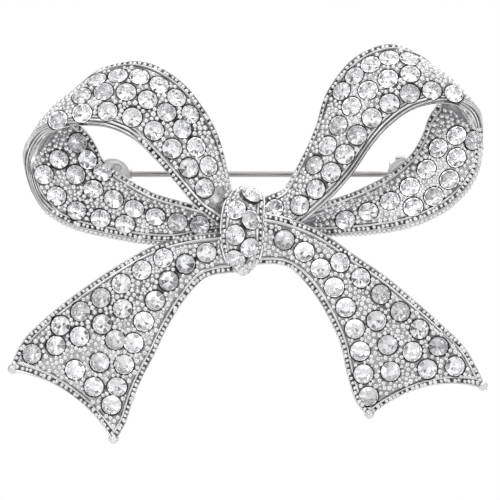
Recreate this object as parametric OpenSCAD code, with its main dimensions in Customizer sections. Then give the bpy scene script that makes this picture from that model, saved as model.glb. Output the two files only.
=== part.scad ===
// Ribbon-bow brooch: five soldered castings set with round stones, and a hinged pin stem with a
// roll-over catch on the back.
// The brooch hangs upright as worn. X runs to the right, Z up, and the stones face -Y.
// The origin is the middle of the pin stem, on its axis.

/* [Stones] */
// Diameter of a stone at its girdle
stone_d = 2.2; // [2.1:0.05:2.25]
// Height of a stone above its girdle
stone_crown_h = 0.5; // [0.4:0.05:0.6]
// Depth of a stone below its girdle
stone_pavilion_h = 0.85; // [0.7:0.05:0.9]
// Gap between a stone and its seat
stone_gap = 0.04; // [0.02:0.01:0.05]
// How far a girdle sits below the ribbon's face
stone_sink = 0.08; // [0:0.02:0.12]

/* [Cast ribbon] */
// Thickness of the ribbon between its rims
ribbon_t = 1.3; // [1.2:0.05:1.5]
// Height of a rim above the ribbon's face
rim_h = 0.16; // [0.1:0.02:0.24]
// Width of a rim
rim_w = 0.6; // [0.5:0.05:0.7]
// Gap between two castings where they are soldered
solder_gap = 0.03; // [0.02:0.01:0.05]

/* [Pin stem] */
// Diameter of the stem's wire
stem_d = 0.7; // [0.6:0.05:0.8]
// Length of the straight stem on each side of the origin
stem_half = 14; // [12:0.5:14]
// Distance from the origin to the pin's sharp tip
tip_x = 18.6; // [18:0.2:19.4]
// Distance from the origin to the hinge rivet
hinge_x = 16.5; // [16.2:0.1:17]
// Diameter of the hinge rivet
rivet_d = 0.8; // [0.7:0.05:0.9]
// Diameter of the eye at the stem's root
eye_d = 1.9; // [1.8:0.05:2]
// Height of the eye along the rivet
eye_h = 1.1; // [1:0.05:1.2]
// Radial clearance of the rivet in the eye
eye_gap = 0.04; // [0.02:0.01:0.06]

/* [Findings] */
// Distance from the stem's axis to the flat backs of the castings
back_y = -2.8; // [-3:0.1:-2.7]
// Diameter of a soldered pad
pad_d = 3.9; // [3.7:0.1:4.2]
// Thickness of a pad
pad_t = 0.5; // [0.4:0.05:0.6]
// Distance from the origin to the middle of the hinge's pad
hinge_pad_x = 16.05; // [16:0.05:16.3]
// Distance from the origin to the middle of the catch's pad
catch_pad_x = 16.85; // [16.6:0.05:16.9]
// Height of the pads' centres above the stem's axis
pad_z = -0.25; // [-0.3:0.05:0]
// Distance from the origin to the middle of the catch
catch_x = 16.5; // [16.4:0.1:16.8]
// Thickness of the hinge's cheeks
cheek_t = 0.5; // [0.4:0.05:0.6]
// Gap between a cheek and the eye
cheek_gap = 0.08; // [0.06:0.01:0.12]
// Outer radius of the catch's roller
roller_r = 1.1; // [1.05:0.05:1.15]
// Radius of the roller's inside, round the stem
roller_bore_r = 0.5; // [0.45:0.05:0.55]
// Radial clearance between the roller and its housing
roller_gap = 0.06; // [0.05:0.01:0.08]
// Wall of the catch's housing
housing_t = 0.4; // [0.35:0.05:0.45]
// Width of the housing along the stem
housing_w = 1.5; // [1.4:0.1:1.6]

/* [Hidden] */
// Cross-sections to each step along a loop, and along a tail or the knot
loop_rings = 3;
tail_rings = 2;
// Stations along a row of stones at which its length is measured
row_samples = 24;
// Share of a rim's width that is flat on top, and where the face's inner corners lie across it
rim_top_share = 0.6;
face_corners = [0.32, 0.5, 0.68];
// Shares across the knot at which its crowned face has corners
knot_corners = [0:0.125:1];
// Sharpness with which a tail's notch fades in, and steps of the loops' turning over
notch_power = 6;
turn_steps = 3;
// Step of a tail up to which it is soldered over a loop
tail_overlap_step = 4;
// Step that a piece which never turns over doesn't reach
no_turn = 99;

// Stones: girdle, table and the conical seats they sit in
girdle_h = 0.08;
table_share = 0.56;
seat_sides = 12;
seat_floor_r = 0.25;

// Bosses on the loops' backs
boss_d = 3.2;
boss_h = 1.4;
boss_sides = 32;
round_sides = 48;

// Hinge: cheeks' radius, base plate, rivet and its heads
cheek_r = 1.05;
bracket_base_t = 0.4;
rivet_seat_gap = 0.01;
rivet_head_t = 0.25;
rivet_head_lip = 0.25;

// Pin stem: thick neck next to the eye, and the point
neck_d = 1.05;
tip_d = 0.12;
weld = 0.2;

// Catch: foot, angles of the housing's opening, flanges and tab of the roller
foot_w = 1.6;
housing_open_from = -25;
housing_open_to = 145;
wedge_steps = 8;
roller_side_gap = 0.06;
flange_t = 0.35;
flange_r = 1.4;
tab_angle = 125;
tab_l = 1.3;
tab_t = 0.5;
tab_w = 1.1;

silver = "#c9ccd0";
steel = "#a9a5a0";
crystal = "#eef3f8";

// Edges of the ribbon's pieces: [x, z, height above the castings' flat backs]. A ribbon runs from the
// knot, and is straight across from a point of one edge to the same point of the other.
left_near = [
    [-2.6, -6.8, 2.6], [-4.4, -5.4, 3.6], [-6.6, -3.8, 4.6], [-8.9, -1.1, 5.2], [-11.1, 1.4, 5.4],
    [-13.4, 3.6, 5.4], [-16.1, 4.9, 5.3], [-18.9, 5.2, 5.2], [-21.6, 4.8, 5], [-24, 3.5, 4.8],
    [-25.5, 0.9, 4.6], [-25.2, -1.9, 4.4], [-23.6, -4.3, 4.2], [-20.5, -6, 4], [-16.5, -7, 3.8],
    [-12.5, -7.7, 3.5], [-9, -7.8, 3], [-6, -7.2, 2.6], [-3.4, -6.9, 2.2]
];
left_far = [
    [-2.2, -3.5, 1.8], [-3.4, -1.9, 2.2], [-3.9, 0.8, 2.4], [-4.5, 3.5, 2.4], [-5.8, 6.3, 2.3],
    [-8.3, 9.6, 2.1], [-12, 11.8, 1.9], [-16, 11.5, 1.7], [-18.6, 9.7, 1.4], [-20.4, 7.7, 1.1],
    [-21, 6.2, 0.9], [-19.6, 5, 0.8], [-18.4, 3.4, 0.8], [-17.3, 1.2, 0.8], [-14.9, -0.7, 0.8],
    [-11.6, -2.6, 0.9], [-8.2, -3.6, 1], [-5.8, -4.3, 1.2], [-3.2, -5, 1.2]
];
right_near = [
    [0.6, -7.2, 2.2], [3.4, -6.8, 3.2], [5.8, -5.1, 4.2], [8.7, -2.6, 5], [10.9, -0.1, 5.3],
    [12.8, 2.7, 5.4], [14.8, 5, 5.3], [17.4, 6.9, 5.2], [20.2, 7.6, 5], [22.8, 7.2, 4.8],
    [24.7, 5.6, 4.6], [25.3, 3.2, 4.5], [25.1, 0.4, 4.4], [23.5, -2.2, 4.2], [20.8, -4.4, 4],
    [17.3, -5.9, 3.7], [13.7, -6.6, 3.3], [10.2, -6.9, 2.8], [7.6, -7, 2.4], [4.2, -6.9, 2.2]
];
right_far = [
    [0.2, -3.4, 2.2], [2.1, -2.9, 2.4], [3.9, -2, 2.4], [6, 1.8, 2.5], [7.4, 5.1, 2.4],
    [8.6, 8.9, 2.2], [11.2, 12.3, 2], [14.4, 13.8, 1.8], [17.2, 13.1, 1.5], [19.3, 11.3, 1.3],
    [20.5, 9.4, 1], [20.7, 7.7, 0.8], [19.9, 6.2, 0.8], [19.2, 4.2, 0.8], [17.8, 1.8, 0.8],
    [15.2, -0.5, 0.8], [12.2, -2.1, 0.9], [9.3, -3.2, 1.1], [6.6, -4.1, 1.2], [3.8, -4.6, 1.2]
];
left_tail_outer = [
    [-2.4, -7, 3], [-5.5, -7.2, 3.4], [-8.4, -7.7, 3.4], [-11.5, -8.6, 3.2], [-14.6, -10.2, 2.9],
    [-17.9, -12.3, 2.6], [-21, -14.5, 2.3], [-23.8, -16.8, 2], [-26, -19.1, 1.8], [-27.5, -22.2, 1.6]
];
left_tail_inner = [
    [-2, -10.8, 3.4], [-4.6, -11.1, 3.6], [-6.2, -11.9, 3.8], [-8, -14.1, 3.9], [-9.8, -17.1, 3.8],
    [-11.3, -20.3, 3.5], [-12.6, -22.8, 3.1], [-13.6, -25.2, 2.7], [-14.5, -27.9, 2.3], [-15.8, -30.2, 2]
];
right_tail_outer = [
    [0.2, -4.6, 4.6], [2.4, -5, 4.8], [5.2, -5.9, 4.6], [8, -7.4, 4], [11, -9.5, 3.4],
    [14.2, -11.6, 2.9], [17.5, -14.3, 2.5], [20.6, -17, 2.2], [23.6, -20, 1.9], [25.9, -24.3, 1.6]
];
right_tail_inner = [
    [0.2, -9.9, 3.6], [2.4, -9.8, 3.8], [4, -10.3, 4], [5.6, -11.8, 4], [7.3, -14.2, 3.8],
    [8.7, -16.9, 3.5], [9.7, -19.5, 3.2], [10.3, -22.3, 2.8], [11.2, -25.3, 2.4], [12.7, -27.3, 2]
];
knot_left = [
    [-3, -2.9, 1], [-3.1, -2.8, 3.2], [-3.5, -3.5, 4.9], [-3.8, -5, 5.8], [-3.9, -6.6, 6.1],
    [-3.8, -8.2, 5.8], [-3.4, -9.6, 4.8], [-2.9, -10.3, 3.2], [-2.7, -10.3, 1]
];
knot_right = [
    [0.9, -2.7, 1], [1, -2.5, 3.2], [1.1, -3.2, 4.8], [1.05, -4.8, 5.5], [1, -6.6, 5.8],
    [0.9, -8.3, 5.5], [0.6, -9.6, 4.6], [0.2, -10.3, 3.2], [0, -10.3, 1]
];

// A ribbon: [first edge, second edge, side its outer face is on, crown of the outer face, crown of
// the inner face past the turn, step at which it turns over, [x, z] depth of the notch at its end]
LEFT_LOOP = [left_near, left_far, 1, 0.8, 0.25, 11, [0, 0]];
RIGHT_LOOP = [right_near, right_far, -1, 0.8, 0.25, 11.5, [0, 0]];
LEFT_TAIL = [left_tail_outer, left_tail_inner, -1, 0.7, 0, no_turn, [1.1, 1.65]];
RIGHT_TAIL = [right_tail_outer, right_tail_inner, 1, 0.7, 0, no_turn, [-0.4, 2.05]];
KNOT = [knot_left, knot_right, -1, 1.35, 0, no_turn, [0, 0]];

// Rows of stones: [face, step along and share across of the first stone, of the last stone, count,
// how far the row's middle bows across]. Face 1 is the outer face and -1 the inner.
LEFT_LOOP_ROWS = [
    [1, 4.3, 0.77, 7.15, 0.71, 6, 0.02],
    [1, 2.6, 0.58, 7.45, 0.45, 8, 0],
    [1, 2.2, 0.31, 8.15, 0.13, 8, 0],
    [-1, 11.4, 0.83, 13.2, 0.86, 3, -0.04],
    [-1, 11.2, 0.52, 16.9, 0.36, 8, 0.12],
    [-1, 11.1, 0.25, 14.4, 0.22, 5, -0.03]
];
RIGHT_LOOP_ROWS = [
    [1, 5.3, 0.8, 7.6, 0.73, 5, 0.02],
    [1, 3.1, 0.62, 7.4, 0.46, 7, 0],
    [1, 2.1, 0.32, 8.8, 0.17, 10, -0.02],
    [1, 0.95, 0.65, 0.95, 0.65, 1, 0],
    [-1, 12.8, 0.68, 16.9, 0.34, 6, 0.05],
    [-1, 11.7, 0.5, 14.7, 0.25, 5, -0.1],
    [-1, 11.15, 0.15, 11.15, 0.15, 1, 0]
];
LEFT_TAIL_ROWS = [
    [1, 2.8, 0.26, 6.7, 0.14, 6, 0],
    [1, 1.15, 0.46, 7.1, 0.83, 8, 0.04],
    [1, 4.8, 0.43, 8.2, 0.11, 5, 0.06],
    [1, 5.7, 0.59, 6.8, 0.6, 2, 0],
    [1, 7.8, 0.46, 7.9, 0.84, 3, 0]
];
RIGHT_TAIL_ROWS = [
    [1, 3.7, 0.27, 8.4, 0.17, 7, 0],
    [1, 1.4, 0.44, 8.2, 0.9, 9, 0.04],
    [1, 5.9, 0.5, 7.8, 0.65, 3, -0.03],
    [1, 7.5, 0.4, 8.3, 0.39, 2, 0]
];
KNOT_ROWS = [
    [1, 2, 0.69, 4.85, 0.67, 3, 0.01],
    [1, 2.8, 0.33, 5.5, 0.33, 3, 0]
];
CASTINGS = [
    ["left_loop", LEFT_LOOP, LEFT_LOOP_ROWS], ["right_loop", RIGHT_LOOP, RIGHT_LOOP_ROWS],
    ["left_tail", LEFT_TAIL, LEFT_TAIL_ROWS], ["right_tail", RIGHT_TAIL, RIGHT_TAIL_ROWS],
    ["knot", KNOT, KNOT_ROWS]
];
function row_name(casting, i) = str(casting, "_stones_", i + 1);

function last(r) = len(r[0]) - 1;
function mix(a, b, f) = a * (1 - f) + b * f;
function unit(v) = v / norm(v);
function ease(f) = let (g = max(0, min(1, f))) g * g * (3 - 2 * g);

// Smooth curve through the points p, at step u
function curve(p, u) =
    let (
        n = len(p) - 1,
        i = max(0, min(floor(u), n - 1)),
        f = u - i,
        b = p[i],
        c = p[i + 1],
        a = i > 0 ? p[i - 1] : 2 * b - c,
        d = i + 2 <= n ? p[i + 2] : 2 * c - b
    )
    0.5 * (2 * b + (c - a) * f + (2 * a - 5 * b + 4 * c - d) * f * f + (3 * b - a - 3 * c + d) * f * f * f);
function edge(p, u) = let (q = curve(p, u)) [q[0], back_y - q[2], q[1]];

// The swallow-tail notch fades out from the ribbon's end
function notch(r, u, v) = [r[6][0], 0, r[6][1]] * 4 * v * (1 - v) * pow(max(0, u / last(r)), notch_power);
function flat(r, u, v) = mix(edge(r[0], u), edge(r[1], u), v) + notch(r, u, v);

// Step of the finite differences that give a surface its normal
probe = 0.02;
function flat_normal(r, u, v) = r[2] * unit(cross(
    flat(r, u, v + probe) - flat(r, u, v - probe),
    flat(r, u + probe, v) - flat(r, u - probe, v)));
// The crown swaps from the outer to the inner face as the ribbon turns over
function crown(r, u) = mix(r[3], -r[4], ease((u - r[5]) / turn_steps + 2 / 3));

// Middle surface of the crowned ribbon, and its outward normal
function middle(r, u, v) = flat(r, u, v) + flat_normal(r, u, v) * crown(r, u) * 4 * v * (1 - v);
function normal(r, u, v) = r[2] * unit(cross(
    middle(r, u, v + probe) - middle(r, u, v - probe),
    middle(r, u + probe, v) - middle(r, u - probe, v)));

// Cross-section of a ribbon at step u, as [share across, height above the middle surface] up its
// outer face: a rim, the crowned face and the other rim
function profile(r, u, grow) =
    let (
        w = norm(flat(r, u, 1) - flat(r, u, 0)),
        rim = rim_w / w,
        low = ribbon_t / 2 + grow,
        high = low + rim_h
    )
    [
        [-grow / w, high], [rim * rim_top_share, high], [rim, low],
        for (v = face_corners) [v, low],
        [1 - rim, low], [1 - rim * rim_top_share, high], [1 + grow / w, high]
    ];
function ring(r, u, grow) =
    let (half = profile(r, u, grow), n = len(half))
    concat(
        [for (q = half) middle(r, u, q[0]) + normal(r, u, q[0]) * q[1]],
        [for (i = [n - 1:-1:0]) middle(r, u, half[i][0]) - normal(r, u, half[i][0]) * half[i][1]]
    );

// Two triangles from the corners a, b, c, d, turned outwards by the ribbon's side
function quad(r, a, b, c, d) = r[2] < 0 ? [[a, b, c], [a, c, d]] : [[c, b, a], [d, c, a]];

// Closed solid through a list of rings of the same number of points
module skin(r, rings) {
    n = len(rings[0]);
    end = (len(rings) - 1) * n;
    walls = [
        for (i = [0:len(rings) - 2], j = [0:n - 1])
            each quad(r, i * n + j, i * n + (j + 1) % n, (i + 1) * n + (j + 1) % n, (i + 1) * n + j)
    ];
    caps = [
        for (j = [0:n / 2 - 2])
            each concat(
                quad(r, j, n - 1 - j, n - 2 - j, j + 1),
                quad(r, end + j, end + j + 1, end + n - 2 - j, end + n - 1 - j))
    ];
    polyhedron([for (q = rings) each q], concat(walls, caps));
}

// Stretch of a ribbon from one step to another
module ribbon(r, from, to, grow = 0) {
    pieces = ceil((to - from) * (r[4] > 0 ? loop_rings : tail_rings));
    skin(r, [for (i = [0:pieces]) ring(r, mix(from, to, i / pieces), grow)]);
}

// The knot is a ribbon's outer face closed by the flat back
module knot_solid(grow = 0) {
    pieces = last(KNOT) * tail_rings;
    skin(KNOT, [
        for (i = [0:pieces])
            let (
                u = last(KNOT) * i / pieces,
                half = [for (v = knot_corners) middle(KNOT, u, v) + normal(KNOT, u, v) * grow],
                n = len(half)
            )
            concat(half, [for (j = [n - 1:-1:0]) [half[j][0], back_y + grow, half[j][2]]])
    ]);
}

// Places of a row's stones as [step, share across], spaced evenly along the ribbon's face
function row_step(q, f) = mix(q[1], q[3], f);
function row_share(q, f) = mix(q[2], q[4], f) + q[6] * 4 * f * (1 - f);
function row_point(r, q, f) = face_point(r, q[0], row_step(q, f), row_share(q, f), 0);
function face_point(r, side, u, v, lift) =
    middle(r, u, v) + normal(r, u, v) * side * ((r == KNOT ? 0 : ribbon_t / 2) + lift);
function lengths(r, q, i = 0, done = 0) =
    i == row_samples ? [[done, 1]] :
    let (step = norm(row_point(r, q, (i + 1) / row_samples) - row_point(r, q, i / row_samples)))
    concat([[done, i / row_samples]], lengths(r, q, i + 1, done + step));
function row_places(r, q) =
    q[5] == 1 ? [[q[1], q[2]]] :
    let (way = lengths(r, q), whole = way[row_samples][0])
    [
        for (i = [0:q[5] - 1])
            let (f = lookup(whole * i / (q[5] - 1), way)) [row_step(q, f), row_share(q, f)]
    ];

// Point of a stone's own frame, whose third axis stands on the ribbon's face
function stone_point(r, side, place, q) =
    let (
        up = normal(r, place[0], place[1]) * side,
        across = unit(middle(r, place[0], place[1] + probe) - middle(r, place[0], place[1] - probe)),
        along = cross(up, across)
    )
    face_point(r, side, place[0], place[1], -stone_sink) + across * q[0] + along * q[1] + up * q[2];

// A stone: octagonal table, eight crown facets, girdle and eight pavilion facets to a point
function octagon(d, z) = [for (a = [22.5:45:360]) [d / 2 * cos(a), d / 2 * sin(a), z]];
STONE_POINTS = concat(
    octagon(stone_d * table_share, stone_crown_h),
    octagon(stone_d, girdle_h / 2),
    octagon(stone_d, -girdle_h / 2),
    [[0, 0, -stone_pavilion_h]]
);
STONE_FACES = concat(
    [[for (i = [7:-1:0]) i]],
    [for (k = [0, 8], i = [0:7]) [k + i, k + (i + 1) % 8, k + 8 + (i + 1) % 8, k + 8 + i]],
    [for (i = [0:7]) [16 + i, 16 + (i + 1) % 8, 24]]
);
module stones(r, q) {
    places = row_places(r, q);
    color(crystal)
        polyhedron(
            [for (place = places, p = STONE_POINTS) stone_point(r, q[0], place, p)],
            [for (i = [0:len(places) - 1], f = STONE_FACES) [for (k = f) k + i * len(STONE_POINTS)]]
        );
}

// Conical seats for every stone of a casting
module seats(r, rows) {
    wide = (stone_d / 2 + stone_gap) / cos(180 / seat_sides);
    for (q = rows, place = row_places(r, q)) {
        origin = stone_point(r, q[0], place, [0, 0, 0]);
        x = stone_point(r, q[0], place, [1, 0, 0]) - origin;
        y = stone_point(r, q[0], place, [0, 1, 0]) - origin;
        z = stone_point(r, q[0], place, [0, 0, 1]) - origin;
        multmatrix([
            [x[0], y[0], z[0], origin[0]], [x[1], y[1], z[1], origin[1]], [x[2], y[2], z[2], origin[2]]
        ])
            hull() {
                translate([0, 0, -girdle_h])
                    cylinder(r = wide, h = stone_crown_h + girdle_h, $fn = seat_sides);
                translate([0, 0, -stone_pavilion_h - stone_gap])
                    cylinder(r = seat_floor_r, h = stone_gap, $fn = seat_sides);
            }
    }
}

// Boss on a casting's back that a pad is soldered to
module boss(x) {
    translate([x, back_y, pad_z])
        rotate([90, 0, 0])
            cylinder(d = boss_d, h = boss_h, $fn = boss_sides);
}

module left_loop() {
    color(silver)
        difference() {
            union() {
                ribbon(LEFT_LOOP, 0, LEFT_LOOP[5]);
                ribbon(LEFT_LOOP, LEFT_LOOP[5], last(LEFT_LOOP));
                boss(-hinge_pad_x);
            }
            knot_solid(solder_gap);
            ribbon(LEFT_TAIL, 0, tail_overlap_step, solder_gap);
            seats(LEFT_LOOP, LEFT_LOOP_ROWS);
        }
}
module right_loop() {
    color(silver)
        difference() {
            union() {
                ribbon(RIGHT_LOOP, 0, RIGHT_LOOP[5]);
                ribbon(RIGHT_LOOP, RIGHT_LOOP[5], last(RIGHT_LOOP));
                boss(catch_pad_x);
            }
            knot_solid(solder_gap);
            ribbon(RIGHT_TAIL, 0, tail_overlap_step, solder_gap);
            seats(RIGHT_LOOP, RIGHT_LOOP_ROWS);
        }
}
module left_tail() {
    color(silver)
        difference() {
            ribbon(LEFT_TAIL, 0, last(LEFT_TAIL));
            knot_solid(solder_gap);
            seats(LEFT_TAIL, LEFT_TAIL_ROWS);
        }
}
module right_tail() {
    color(silver)
        difference() {
            ribbon(RIGHT_TAIL, 0, last(RIGHT_TAIL));
            knot_solid(solder_gap);
            seats(RIGHT_TAIL, RIGHT_TAIL_ROWS);
        }
}
module knot() {
    color(silver)
        difference() {
            knot_solid();
            seats(KNOT, KNOT_ROWS);
        }
}

// Discs soldered to the bosses, which carry the hinge and the catch
module pad(x) {
    translate([x, back_y, pad_z])
        rotate([-90, 0, 0])
            cylinder(d = pad_d, h = pad_t, $fn = round_sides);
}
module hinge_pad() {
    color(silver) pad(-hinge_pad_x);
}
module catch_pad() {
    color(silver) pad(catch_pad_x);
}

// U-shaped joint: a base plate, and a cheek on each side of the eye with a hole for the rivet
module hinge_bracket() {
    span = eye_h + 2 * cheek_gap + 2 * cheek_t;
    base_y = back_y + pad_t;
    color(silver)
        difference() {
            union() {
                translate([-hinge_x - cheek_r, base_y, -span / 2])
                    cube([2 * cheek_r, bracket_base_t, span]);
                for (z = [-span / 2, span / 2 - cheek_t]) {
                    translate([-hinge_x, 0, z])
                        cylinder(r = cheek_r, h = cheek_t, $fn = round_sides);
                    translate([-hinge_x - cheek_r, base_y, z])
                        cube([2 * cheek_r, -base_y, cheek_t]);
                }
            }
            translate([-hinge_x, 0, -span / 2 - 1])
                cylinder(d = rivet_d + 2 * rivet_seat_gap, h = span + 2, $fn = round_sides);
        }
}

// Rivet with a flat head outside each cheek
module hinge_rivet() {
    span = eye_h + 2 * cheek_gap + 2 * cheek_t + 2 * rivet_seat_gap;
    head_d = rivet_d + 2 * rivet_head_lip;
    color(silver)
        translate([-hinge_x, 0, 0]) {
            cylinder(d = rivet_d, h = span, center = true, $fn = round_sides);
            for (side = [-1, 1])
                translate([0, 0, side * (span + rivet_head_t) / 2])
                    cylinder(d = head_d, h = rivet_head_t, center = true, $fn = round_sides);
        }
}

// Wire stem with an eye at its root and a long sharp point
module pin_stem() {
    neck_x = hinge_x - eye_d / 2 + weld;
    color(steel)
        difference() {
            union() {
                translate([-hinge_x, 0, 0])
                    cylinder(d = eye_d, h = eye_h, center = true, $fn = round_sides);
                translate([-neck_x, 0, 0])
                    rotate([0, 90, 0])
                        cylinder(d = neck_d, h = neck_x - stem_half, $fn = round_sides);
                translate([-stem_half, 0, 0])
                    rotate([0, 90, 0])
                        cylinder(d = stem_d, h = 2 * stem_half, $fn = round_sides);
                translate([stem_half, 0, 0])
                    rotate([0, 90, 0])
                        cylinder(d1 = stem_d, d2 = tip_d, h = tip_x - stem_half, $fn = round_sides);
            }
            translate([-hinge_x, 0, 0])
                cylinder(d = rivet_d + 2 * eye_gap, h = eye_h + 1, center = true, $fn = round_sides);
        }
}

// Wedge of the catch's cross-section between two angles, measured from +Y towards +Z
module catch_wedge(from, to, r) {
    angles = [for (i = [0:wedge_steps]) mix(from, to, i / wedge_steps)];
    polygon(concat([[0, 0]], [for (a = angles) r * [cos(a), sin(a)]]));
}
// Turns a cross-section drawn in Y and Z into a slice w wide across the stem
module across_stem(w) {
    translate([catch_x - w / 2, 0, 0])
        rotate([90, 0, 90])
            linear_extrude(w)
                children();
}

// C-shaped housing that holds the roller over more than half a turn, on a foot
module catch_housing() {
    inner_r = roller_r + roller_gap;
    outer_r = inner_r + housing_t;
    base_y = back_y + pad_t;
    color(silver)
        difference() {
            union() {
                across_stem(housing_w)
                    circle(outer_r, $fn = round_sides);
                across_stem(housing_w)
                    translate([base_y, -foot_w / 2])
                        square([-base_y - inner_r, foot_w]);
            }
            across_stem(housing_w + 2)
                circle(inner_r, $fn = round_sides);
            across_stem(housing_w + 2)
                catch_wedge(housing_open_from, housing_open_to, 2 * outer_r);
        }
}

// Slotted roller with a flange on each side of the housing and a tab to turn it by.
// It is drawn open, with its slot towards +Y, where the stem swings in.
module catch_roller() {
    flange_from = housing_w / 2 + roller_side_gap;
    whole_w = 2 * (flange_from + flange_t);
    color(silver)
        difference() {
            union() {
                across_stem(whole_w)
                    circle(roller_r, $fn = round_sides);
                for (side = [-1, 1])
                    translate([side * (flange_from + flange_t / 2), 0, 0])
                        across_stem(flange_t)
                            circle(flange_r, $fn = round_sides);
                across_stem(tab_w)
                    rotate(tab_angle)
                        translate([roller_r - weld, -tab_t / 2])
                            square([tab_l + weld, tab_t]);
            }
            across_stem(whole_w + 2)
                circle(roller_bore_r, $fn = round_sides);
            across_stem(whole_w + 2)
                translate([0, -roller_bore_r])
                    square([flange_r + 1, 2 * roller_bore_r]);
        }
}

left_loop();
right_loop();
left_tail();
right_tail();
knot();
for (c = CASTINGS, i = [0:len(c[2]) - 1])
    stones(c[1], c[2][i]);
hinge_pad();
hinge_bracket();
hinge_rivet();
pin_stem();
catch_pad();
catch_housing();
catch_roller();
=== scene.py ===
import math
import random

import bmesh
import bpy
import numpy as np
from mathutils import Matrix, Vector
from mathutils.bvhtree import BVHTree
from mathutils.kdtree import KDTree


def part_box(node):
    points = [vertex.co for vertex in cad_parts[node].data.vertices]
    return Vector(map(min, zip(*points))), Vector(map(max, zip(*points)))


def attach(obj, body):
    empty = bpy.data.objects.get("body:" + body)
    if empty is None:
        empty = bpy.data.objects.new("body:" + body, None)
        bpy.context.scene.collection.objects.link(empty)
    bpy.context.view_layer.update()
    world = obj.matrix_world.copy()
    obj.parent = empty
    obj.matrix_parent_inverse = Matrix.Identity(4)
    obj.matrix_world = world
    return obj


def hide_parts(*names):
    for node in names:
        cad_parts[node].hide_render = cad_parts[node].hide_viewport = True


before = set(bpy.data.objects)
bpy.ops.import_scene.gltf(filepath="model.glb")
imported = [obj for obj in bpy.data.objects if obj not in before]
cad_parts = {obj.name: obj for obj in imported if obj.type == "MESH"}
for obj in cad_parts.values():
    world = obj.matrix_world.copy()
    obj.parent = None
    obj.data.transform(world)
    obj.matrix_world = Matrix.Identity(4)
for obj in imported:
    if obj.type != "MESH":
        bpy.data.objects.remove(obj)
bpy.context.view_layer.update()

MM = 0.001
BODY = "brooch"
FINDINGS_SLOT = "findings"
# Small steps along and across a ribbon, in its own u and v
NUDGE = 0.01
PROBE = 0.02

# ---------------------------------------------------------------- ribbon surfaces
BACK_Y = -2.8
THICK = 1.3
RIM = 0.16

# Edges: x, z and height above the castings' backs, as in the CAD model
LEFT_NEAR = [
    (-2.6, -6.8, 2.6), (-4.4, -5.4, 3.6), (-6.6, -3.8, 4.6), (-8.9, -1.1, 5.2), (-11.1, 1.4, 5.4),
    (-13.4, 3.6, 5.4), (-16.1, 4.9, 5.3), (-18.9, 5.2, 5.2), (-21.6, 4.8, 5), (-24, 3.5, 4.8),
    (-25.5, 0.9, 4.6), (-25.2, -1.9, 4.4), (-23.6, -4.3, 4.2), (-20.5, -6, 4), (-16.5, -7, 3.8),
    (-12.5, -7.7, 3.5), (-9, -7.8, 3), (-6, -7.2, 2.6), (-3.4, -6.9, 2.2),
]
LEFT_FAR = [
    (-2.2, -3.5, 1.8), (-3.4, -1.9, 2.2), (-3.9, 0.8, 2.4), (-4.5, 3.5, 2.4), (-5.8, 6.3, 2.3),
    (-8.3, 9.6, 2.1), (-12, 11.8, 1.9), (-16, 11.5, 1.7), (-18.6, 9.7, 1.4), (-20.4, 7.7, 1.1),
    (-21, 6.2, 0.9), (-19.6, 5, 0.8), (-18.4, 3.4, 0.8), (-17.3, 1.2, 0.8), (-14.9, -0.7, 0.8),
    (-11.6, -2.6, 0.9), (-8.2, -3.6, 1), (-5.8, -4.3, 1.2), (-3.2, -5, 1.2),
]
RIGHT_NEAR = [
    (0.6, -7.2, 2.2), (3.4, -6.8, 3.2), (5.8, -5.1, 4.2), (8.7, -2.6, 5), (10.9, -0.1, 5.3),
    (12.8, 2.7, 5.4), (14.8, 5, 5.3), (17.4, 6.9, 5.2), (20.2, 7.6, 5), (22.8, 7.2, 4.8),
    (24.7, 5.6, 4.6), (25.3, 3.2, 4.5), (25.1, 0.4, 4.4), (23.5, -2.2, 4.2), (20.8, -4.4, 4),
    (17.3, -5.9, 3.7), (13.7, -6.6, 3.3), (10.2, -6.9, 2.8), (7.6, -7, 2.4), (4.2, -6.9, 2.2),
]
RIGHT_FAR = [
    (0.2, -3.4, 2.2), (2.1, -2.9, 2.4), (3.9, -2, 2.4), (6, 1.8, 2.5), (7.4, 5.1, 2.4),
    (8.6, 8.9, 2.2), (11.2, 12.3, 2), (14.4, 13.8, 1.8), (17.2, 13.1, 1.5), (19.3, 11.3, 1.3),
    (20.5, 9.4, 1), (20.7, 7.7, 0.8), (19.9, 6.2, 0.8), (19.2, 4.2, 0.8), (17.8, 1.8, 0.8),
    (15.2, -0.5, 0.8), (12.2, -2.1, 0.9), (9.3, -3.2, 1.1), (6.6, -4.1, 1.2), (3.8, -4.6, 1.2),
]
LEFT_TAIL_OUTER = [
    (-2.4, -7, 3), (-5.5, -7.2, 3.4), (-8.4, -7.7, 3.4), (-11.5, -8.6, 3.2), (-14.6, -10.2, 2.9),
    (-17.9, -12.3, 2.6), (-21, -14.5, 2.3), (-23.8, -16.8, 2), (-26, -19.1, 1.8), (-27.5, -22.2, 1.6),
]
LEFT_TAIL_INNER = [
    (-2, -10.8, 3.4), (-4.6, -11.1, 3.6), (-6.2, -11.9, 3.8), (-8, -14.1, 3.9), (-9.8, -17.1, 3.8),
    (-11.3, -20.3, 3.5), (-12.6, -22.8, 3.1), (-13.6, -25.2, 2.7), (-14.5, -27.9, 2.3), (-15.8, -30.2, 2),
]
RIGHT_TAIL_OUTER = [
    (0.2, -4.6, 4.6), (2.4, -5, 4.8), (5.2, -5.9, 4.6), (8, -7.4, 4), (11, -9.5, 3.4),
    (14.2, -11.6, 2.9), (17.5, -14.3, 2.5), (20.6, -17, 2.2), (23.6, -20, 1.9), (25.9, -24.3, 1.6),
]
RIGHT_TAIL_INNER = [
    (0.2, -9.9, 3.6), (2.4, -9.8, 3.8), (4, -10.3, 4), (5.6, -11.8, 4), (7.3, -14.2, 3.8),
    (8.7, -16.9, 3.5), (9.7, -19.5, 3.2), (10.3, -22.3, 2.8), (11.2, -25.3, 2.4), (12.7, -27.3, 2),
]
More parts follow.
